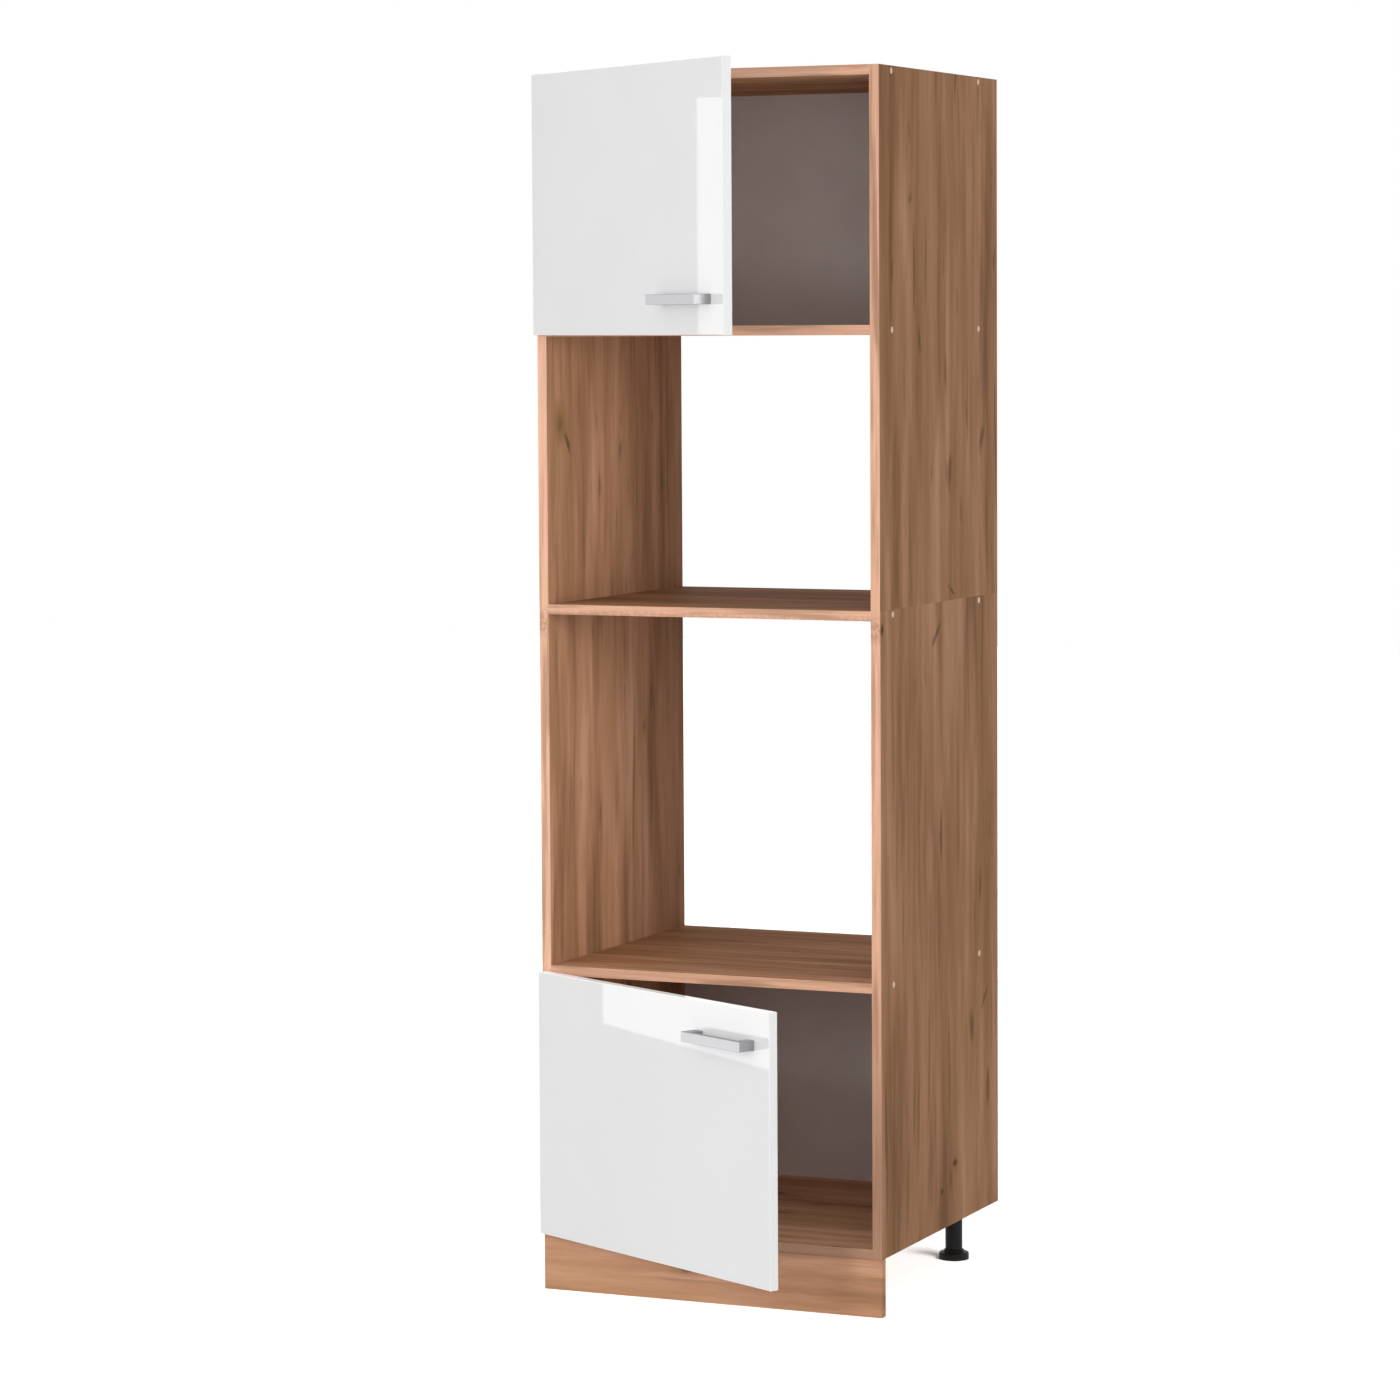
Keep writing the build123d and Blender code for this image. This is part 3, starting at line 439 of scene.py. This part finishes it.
def start_tree(name, sizes):
    """Starts a Geometry Nodes tree with named sizes and a finish; returns its graph and inputs."""
    tree = bpy.data.node_groups.new(name, "GeometryNodeTree")
    tree.interface.new_socket("Places", in_out="INPUT", socket_type="NodeSocketGeometry")
    for label in sizes:
        tree.interface.new_socket(label, in_out="INPUT", socket_type="NodeSocketFloat")
    tree.interface.new_socket("Finish", in_out="INPUT", socket_type="NodeSocketMaterial")
    tree.interface.new_socket("Geometry", in_out="OUTPUT", socket_type="NodeSocketGeometry")
    graph = Graph(tree)
    return graph, graph.node("NodeGroupInput").outputs


def end_tree(graph, shape, rotation, given):
    """Puts a shape on each place, makes it real and gives it the finish."""
    placed = graph.node("GeometryNodeInstanceOnPoints", named={
        "Points": given["Places"], "Instance": shape, "Rotation": rotation}).outputs[0]
    real = graph.node("GeometryNodeRealizeInstances", placed).outputs[0]
    finished = graph.node("GeometryNodeSetMaterial", named={
        "Geometry": real, "Material": given["Finish"]}).outputs[0]
    graph.node("NodeGroupOutput", finished)


def joined(graph, *shapes):
    """Joins shapes into one geometry."""
    join = graph.node("GeometryNodeJoinGeometry")
    for shape in shapes:
        graph.tree.links.new(shape, join.inputs[0])
    return join.outputs[0]


def fastener_tree(name, recessed):
    """Domed heads on shafts that point along the places' own direction, with a cross recess."""
    graph, given = start_tree(name, ("Head Radius", "Head Height", "Shaft Radius", "Shaft Length"))
    radius, height = given["Head Radius"], given["Head Height"]
    ball = graph.node("GeometryNodeMeshUVSphere", named={
        "Segments": 24, "Rings": 12, "Radius": 1.0}).outputs["Mesh"]
    x, y, z = graph.separate(graph.node("GeometryNodeInputPosition").outputs[0])
    flat = 0.8  # the ball is cut flat here and at its middle
    level = graph.maths("MINIMUM", graph.maths("MAXIMUM", z, 0.0), flat)
    head = graph.node("GeometryNodeSetPosition", named={
        "Geometry": ball,
        "Position": graph.combine(graph.maths("MULTIPLY", x, radius),
                                  graph.maths("MULTIPLY", y, radius),
                                  graph.maths("MULTIPLY", level, graph.maths(
                                      "DIVIDE", height, flat)))}).outputs[0]
    if recessed:
        cut = graph.node("GeometryNodeMeshBoolean", operation="DIFFERENCE", solver="EXACT")
        graph.fill(cut.inputs["Mesh 1"], head)
        long = graph.maths("MULTIPLY", radius, 1.24)
        narrow = graph.maths("MULTIPLY", radius, 0.28)
        deep = graph.maths("MULTIPLY", height, 1.4)
        for size in (graph.combine(long, narrow, deep), graph.combine(narrow, long, deep)):
            slot = graph.node("GeometryNodeMeshCube", size).outputs["Mesh"]
            raised = graph.node("GeometryNodeTransform", named={
                "Geometry": slot, "Translation": graph.combine(0.0, 0.0, height)}).outputs[0]
            graph.tree.links.new(raised, cut.inputs["Mesh 2"])
        head = cut.outputs["Mesh"]
    shaft = graph.node("GeometryNodeMeshCylinder", named={
        "Vertices": 12, "Radius": given["Shaft Radius"], "Depth": given["Shaft Length"]})
    sunk = graph.node("GeometryNodeTransform", named={
        "Geometry": shaft.outputs["Mesh"],
        "Translation": graph.combine(0.0, 0.0, graph.maths(
            "MULTIPLY", given["Shaft Length"], -0.5))}).outputs[0]
    direction = graph.node("GeometryNodeInputNamedAttribute", data_type="FLOAT_VECTOR",
                           named={"Name": "outwards"}).outputs["Attribute"]
    turned = graph.node("FunctionNodeAlignRotationToVector", axis="Z",
                        named={"Vector": direction}).outputs[0]
    end_tree(graph, joined(graph, head, sunk), turned, given)
    return graph.tree


RIBS = 8


def rib_tree():
    """Tapered ribs round each place, under a plate and against a ring."""
    graph, given = start_tree("socket ribs", ("Inner Radius", "Reach", "Depth", "Thickness"))
    block = graph.node("GeometryNodeMeshCube", (1.0, 1.0, 1.0)).outputs["Mesh"]
    x, y, z = graph.separate(graph.node("GeometryNodeInputPosition").outputs[0])
    outer, lower = graph.maths("ADD", x, 0.5), graph.maths("SUBTRACT", 0.5, z)
    taper = graph.maths("MULTIPLY_ADD", outer, -0.88, 1.0)
    drop = graph.maths("MULTIPLY", graph.maths("MULTIPLY", lower, taper), given["Depth"])
    rib = graph.node("GeometryNodeSetPosition", named={
        "Geometry": block,
        "Position": graph.combine(graph.maths("MULTIPLY", outer, given["Reach"]),
                                  graph.maths("MULTIPLY", y, given["Thickness"]),
                                  graph.maths("MULTIPLY", drop, -1.0))}).outputs[0]
    ring = graph.node("GeometryNodeMeshCircle", named={
        "Vertices": RIBS, "Radius": given["Inner Radius"]}).outputs["Mesh"]
    turned = graph.node("FunctionNodeAlignRotationToVector", axis="X", named={
        "Vector": graph.node("GeometryNodeInputPosition").outputs[0]}).outputs[0]
    star = graph.node("GeometryNodeInstanceOnPoints", named={
        "Points": ring, "Instance": rib, "Rotation": turned}).outputs[0]
    # Turned half a step, so that the ribs miss the screws in the plate's corners
    half_step = radians(180.0 / RIBS)
    between = graph.node("GeometryNodeTransform", named={
        "Geometry": star, "Rotation": (0.0, 0.0, half_step)}).outputs[0]
    end_tree(graph, between, (0.0, 0.0, 0.0), given)
    return graph.tree


def grow(name, tree, places, sizes, finish, body, outwards=None):
    """Runs a tree on places and keeps the result as a plain mesh that rides on a body."""
    mesh = bpy.data.meshes.new(name + "_places")
    mesh.from_pydata(places, [], [])
    if outwards:
        directions = mesh.attributes.new("outwards", "FLOAT_VECTOR", "POINT")
        for item, vector in zip(directions.data, outwards):
            item.vector = vector
    piece = bpy.data.objects.new(name, mesh)
    bpy.context.scene.collection.objects.link(piece)
    modifier = piece.modifiers.new(name, "NODES")
    modifier.node_group = tree
    for item in tree.interface.items_tree:
        if item.in_out == "INPUT" and item.name in sizes:
            modifier[item.identifier] = sizes[item.name]
        elif item.in_out == "INPUT" and item.name == "Finish":
            modifier[item.identifier] = finish
    seen = piece.evaluated_get(bpy.context.evaluated_depsgraph_get())
    plain = bpy.data.meshes.new_from_object(seen)
    piece.modifiers.clear()
    piece.data = plain
    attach(piece, body)
    return piece


def solids_of(node):
    """The points of each solid of a node, from a merged copy of its mesh."""
    shell = bmesh.new()
    shell.from_mesh(node.data)
    bmesh.ops.remove_doubles(shell, verts=shell.verts, dist=1e-6)
    found, solids = set(), []
    for first in shell.verts:
        if first in found:
            continue
        found.add(first)
        waiting, points = [first], []
        while waiting:
            corner = waiting.pop()
            points.append(corner.co.copy())
            for edge in corner.link_edges:
                other = edge.other_vert(corner)
                if other not in found:
                    found.add(other)
                    waiting.append(other)
        solids.append(points)
    shell.free()
    return solids


def fasteners(node, tree, outwards, head, shaft_radius, finish, body):
    """Replaces a node's plain heads and shafts; outwards gives a direction for a place."""
    radius, height = head
    places, directions, length = [], [], 0.0
    for points in solids_of(nodes[node]):
        middle = sum(points, Vector()) / len(points)
        direction = Vector(outwards(middle)).normalized()
        along = [point.dot(direction) for point in points]
        top = [point for point, reach in zip(points, along) if reach > max(along) - 5e-5]
        places.append(sum(top, Vector()) / len(top) - direction * height)
        directions.append(direction)
        length = max(along) - min(along) - height
    sizes = {"Head Radius": radius, "Head Height": height, "Shaft Radius": shaft_radius,
             "Shaft Length": length}
    piece = grow(node + "_dressed", tree, places, sizes, finish, body, directions)
    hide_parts(node)


recessed = fastener_tree("recessed heads", True)
domed = fastener_tree("domed heads", False)
# The radius and height of each kind of head, and the radius of the commonest shaft
CAP_HEAD, NAIL_HEAD = (0.0052, 0.0008), (0.0016, 0.0005)
HANDLE_HEAD, ARM_HEAD, SMALL_HEAD = (0.004, 0.0022), (0.0036, 0.0016), (0.0034, 0.0015)
SMALL_SHAFT = 0.00175
fasteners("screw_caps", domed, lambda place: (place.x, 0, 0), CAP_HEAD, 0.0019,
          cap_plastic, "carcass")
fasteners("back_nails", domed, lambda place: (0, 1, 0), NAIL_HEAD, 0.0007,
          zinc, "carcass")
fasteners("leg_socket_screws", recessed, lambda place: (0, 0, -1), SMALL_HEAD, SMALL_SHAFT,
          zinc, "carcass")
fasteners("plate_screws", recessed,
          lambda place: (0, 1, 0) if place.z < SEAM_SCREWS_BELOW else (0, 0, -1),
          SMALL_HEAD, SMALL_SHAFT, zinc, "carcass")
fasteners("plinth_clip_screws", recessed, lambda place: (0, 1, 0), SMALL_HEAD, SMALL_SHAFT,
          zinc, "plinth")
for level, opening in DOOR_OPENINGS.items():
    inwards = (sin(radians(opening)), cos(radians(opening)), 0.0)
    leaf = f"{level}_door_leaf"
    fasteners(f"{level}_handle_screws", recessed, lambda place: inwards, HANDLE_HEAD, 0.002,
              zinc, leaf)
    fasteners(f"{level}_hinge_cup_screws", recessed, lambda place: inwards, SMALL_HEAD,
              SMALL_SHAFT, nickel, leaf)
    fasteners(f"{level}_hinge_plate_screws", recessed, lambda place: (1, 0, 0), SMALL_HEAD,
              SMALL_SHAFT, nickel, "carcass")
    fasteners(f"{level}_hinge_arm_screws", recessed, lambda place: (1, 0, 0), ARM_HEAD,
              0.0015, nickel, "carcass")
leg_places = [(x, y, SOCKET_PLATE_UNDERSIDE) for x in (-LEG_SIDEWAYS, LEG_SIDEWAYS)
              for y in LEG_ROWS]
grow("socket_ribs", rib_tree(), leg_places,
     {"Inner Radius": 0.0183, "Reach": 0.009, "Depth": 0.013, "Thickness": 0.0018},
     black_plastic, "carcass")


def stage_piece(name, corners, material):
    """Makes a flat stage piece from its corners."""
    mesh = bpy.data.meshes.new(name)
    mesh.from_pydata(corners, [], [tuple(range(len(corners)))])
    piece = bpy.data.objects.new(name, mesh)
    bpy.context.scene.collection.objects.link(piece)
    mesh.materials.append(material)
    return piece


def floor_finish():
    """A pale floor that reads as white and still takes the unit's shadow."""
    material, graph, shader = new_finish("pale floor")
    speck = graph.noise(graph.place(), 60.0, 3.0)
    colour = graph.mix(graph.spread(speck, 0.3, 0.7), (0.80, 0.80, 0.80), (0.82, 0.82, 0.82))
    seen = graph.seen()
    colour = graph.mix(seen, (0.34, 0.34, 0.34), colour)
    set_shader(graph, shader, Base_Color=colour, Roughness=0.8)
    shader.inputs["Specular IOR Level"].default_value = 0.1
    shader.inputs["Emission Color"].default_value = (1.0, 1.0, 1.0, 1.0)
    graph.fill(shader.inputs["Emission Strength"], graph.maths("MULTIPLY", seen, 0.12))
    return material


def card_finish(name, strength):
    """A glowing card that only reflections see."""
    material = bpy.data.materials.new(name)
    material.use_nodes = True
    material.node_tree.nodes.clear()
    graph = Graph(material.node_tree)
    glow = graph.node("ShaderNodeEmission", (1.0, 1.0, 1.0, 1.0), strength)
    graph.node("ShaderNodeOutputMaterial", glow.outputs[0])
    return material


FLOOR_REACH = 14.0
floor = stage_piece("floor", [(-FLOOR_REACH, -FLOOR_REACH, 0), (FLOOR_REACH, -FLOOR_REACH, 0),
                      (FLOOR_REACH, FLOOR_REACH, 0), (-FLOOR_REACH, FLOOR_REACH, 0)],
                    floor_finish())

# Two upright light cards to the left, with their corners' y and z; the doors mirror one each
CARD_X = -1.5
for name, glow, outline in (
        ("upper_card", 2.7, ((-0.464, 1.20), (-0.464, 2.018), (-1.30, 2.018), (-1.30, 1.20))),
        ("lower_card", 3.7, ((-0.602, 0.253), (-0.602, 0.95), (-1.40, 0.95), (-1.40, 0.002)))):
    panel = stage_piece(name, [(CARD_X, y, z) for y, z in outline], card_finish(name, glow))
    panel.visible_camera = panel.visible_diffuse = panel.visible_shadow = False
    panel.visible_transmission = panel.visible_volume_scatter = False


def collection_of(name, pieces):
    """Makes a collection of pieces for a lamp's own use."""
    made = bpy.data.collections.new(name)
    for piece in pieces:
        made.objects.link(piece)
    return made


def place_lamp(data, place, target, lights=None):
    """Puts a lamp in the scene; it lights all, or only the given pieces."""
    lamp = bpy.data.objects.new(data.name, data)
    bpy.context.scene.collection.objects.link(lamp)
    aim = (Vector(target) - Vector(place)).to_track_quat("-Z", "Y")
    lamp.matrix_world = Matrix.LocRotScale(Vector(place), aim, None)
    lamp.visible_camera = False
    lamp.visible_glossy = False
    if lights:
        lamp.light_linking.receiver_collection = collection_of(data.name + " lit", lights)
    return lamp


def area_lamp(name, place, target, size, power, lights=None):
    """Makes a soft lamp that points at a target."""
    data = bpy.data.lights.new(name, "AREA")
    data.shape = "RECTANGLE"
    data.size, data.size_y = size
    data.energy = power
    return place_lamp(data, place, target, lights)


area_lamp("key", (-2.0, -4.2, 2.2), (0.0, 0.0, 1.0), (2.4, 2.4), 20.0)
area_lamp("fill", (0.0, -4.5, 1.4), (0.0, 0.0, 1.1), (0.5, 1.5), 45.0)
area_lamp("niche_light", (3.6, -2.4, 1.4), (-0.3, 0.0, 1.1), (1.4, 2.0), 90.0,
          [nodes["side_left_lower"], nodes["side_left_upper"]])
area_lamp("upper_inner_light", (1.8, -3.9, 1.4), (0.0, 0.0, 1.6), (2.6, 2.0), 54.0,
          [nodes["upper_back_panel"], nodes["top_panel"]])
area_lamp("lower_inner_light", (1.2, -4.0, 1.2), (0.0, 0.0, 0.6), (2.5, 2.0), 20.0,
          [nodes["lower_back_panel"], nodes["bottom_panel"]])
doors = [nodes["upper_door"], nodes["lower_door"]]
area_lamp("edge_light", (3.6, -2.4, 1.3), (0.1, -0.5, 1.0), (0.8, 2.0), 55.0,
          [*doors, nodes["plinth_panel"]])
# Metal shows a lamp only in its reflections, so they see this one
handle_light = area_lamp("handle_light", (3.4, -1.3, 1.5), (0.1, -0.6, 1.6), (1.2, 1.2), 30.0,
                         [nodes["upper_handle"]])
handle_light.visible_glossy = True


def sun_lamp(name, place, angle, power, lights, blockers):
    """Makes a far lamp that only some pieces take and only some pieces stop."""
    data = bpy.data.lights.new(name, "SUN")
    data.energy, data.angle = power, radians(angle)
    lamp = place_lamp(data, place, (0.0, 0.0, 0.0), lights)
    lamp.light_linking.blocker_collection = collection_of(name + " stopped", blockers)


sun_lamp("door_top_light", (0.0, 0.0, 5.0), 3.0, 2.3, doors, [nodes["top_panel"]])
# The floor stays white, but for the shadow that the rear leg throws to the left
sun_lamp("floor_light", (4.0, -2.0, 4.4), 26.0, 3.9, [floor],
         [nodes["foot_back_right"], nodes["leg_tubes"]])

world = bpy.data.worlds.new("studio")
bpy.context.scene.world = world
world.use_nodes = True
world.node_tree.nodes.clear()
sky = Graph(world.node_tree)
# The light comes from in front and falls off towards the back
towards = sky.separate(sky.node("ShaderNodeTexCoord").outputs["Generated"])[1]
soft_light = sky.spread(towards, -0.45, 0.55, 0.95, 0.22)
strength = sky.maths("MAXIMUM", sky.seen(), soft_light)
backdrop = sky.node("ShaderNodeBackground", (1.0, 1.0, 1.0, 1.0), strength)
sky.node("ShaderNodeOutputWorld", backdrop.outputs[0])

# The camera, solved from the photograph; its shift only frames the unit
CAMERA_PLACE = (2.9546, -6.9809, 1.5945)
YAW, PITCH, ROLL = radians(23.853), radians(-3.981), radians(-0.326)
ahead = Vector((-sin(YAW) * cos(PITCH), cos(YAW) * cos(PITCH), sin(PITCH)))
level_right = Vector((cos(YAW), sin(YAW), 0.0))
level_up = level_right.cross(ahead)
right = level_right * cos(ROLL) + level_up * sin(ROLL)
up = level_up * cos(ROLL) - level_right * sin(ROLL)
camera_data = bpy.data.cameras.new("camera")
camera_data.sensor_width = 36.0
camera_data.lens = 117.1
camera_data.shift_y = -0.0429
camera_data.clip_end = 100.0
camera = bpy.data.objects.new("camera", camera_data)
bpy.context.scene.collection.objects.link(camera)
turn = Matrix((right, up, -ahead)).transposed().to_4x4()
camera.matrix_world = Matrix.Translation(CAMERA_PLACE) @ turn
bpy.context.scene.camera = camera
bpy.context.scene.view_settings.view_transform = "Standard"
